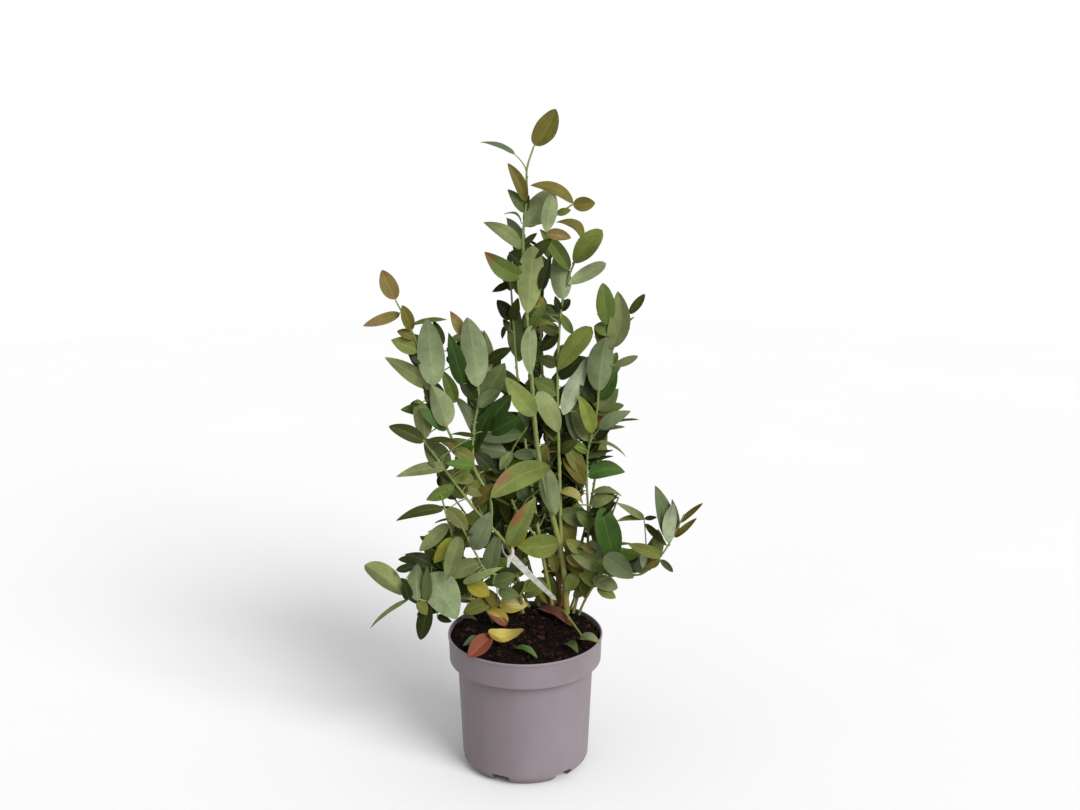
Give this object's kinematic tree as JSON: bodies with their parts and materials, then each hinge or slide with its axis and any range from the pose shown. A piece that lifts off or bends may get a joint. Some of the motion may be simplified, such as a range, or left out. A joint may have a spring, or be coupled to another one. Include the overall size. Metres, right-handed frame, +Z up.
{
  "type": "blueberry bush in a pot",
  "caption": "Young blueberry bush with upright canes, forked boughs and oval leaves in sprays, rooted in peat in a round plastic nursery pot with a blank label looped on a cane.",
  "frame": {"origin": "centre of the flat underside of the pot, where it meets the ground", "axes": "+Z up the bush, -Y towards the front, where the pot's open peat lies before the canes, +X to the right seen from there"},
  "size_m": [0.4534, 0.3402, 0.9155],
  "materials": {
    "pot": "taupe grey moulded plastic with a soft sheen",
    "peat": "dark moist peat with bits of bark",
    "green_bark": "smooth yellow-green young bark",
    "brown_bark": "red-brown older bark with fine length-wise cracks",
    "foliage": "leathery leaves, dull green above and pale grey-green below",
    "label": "thin white plastic strip"
  },
  "bodies": {
    "root": {"pot": "pot", "peat": "peat", "plant_label": "label", "tall_cane": "green_bark", "right_fork": "green_bark", "upper_bough": "green_bark", "brown_cane": "brown_bark", "thin_cane": "green_bark", "tagged_cane": "green_bark", "left_bough": "green_bark", "left_tip_bough": "green_bark", "far_left_cane": "green_bark", "low_left_cane": "green_bark", "right_cane": "green_bark", "right_bough": "green_bark", "low_right_cane": "green_bark", "back_left_cane": "green_bark", "back_right_cane": "green_bark", "back_cane": "green_bark", "low_back_left_cane": "green_bark", "low_back_right_cane": "green_bark", "mid_left_bough": "green_bark", "mid_right_bough": "green_bark", "low_right_bough": "green_bark", "low_front_bough": "green_bark", "rim_twig": "green_bark", "tall_cane_foliage": "foliage", "right_fork_foliage": "foliage", "upper_bough_foliage": "foliage", "brown_cane_foliage": "foliage", "thin_cane_foliage": "foliage", "tagged_cane_foliage": "foliage", "left_bough_foliage": "foliage", "left_tip_bough_foliage": "foliage", "far_left_cane_foliage": "foliage", "low_left_cane_foliage": "foliage", "right_cane_foliage": "foliage", "right_bough_foliage": "foliage", "low_right_cane_foliage": "foliage", "back_left_cane_foliage": "foliage", "back_right_cane_foliage": "foliage", "back_cane_foliage": "foliage", "low_back_left_cane_foliage": "foliage", "low_back_right_cane_foliage": "foliage", "mid_left_bough_foliage": "foliage", "mid_right_bough_foliage": "foliage", "low_right_bough_foliage": "foliage", "low_front_bough_foliage": "foliage"}
  },
  "joints": []
}
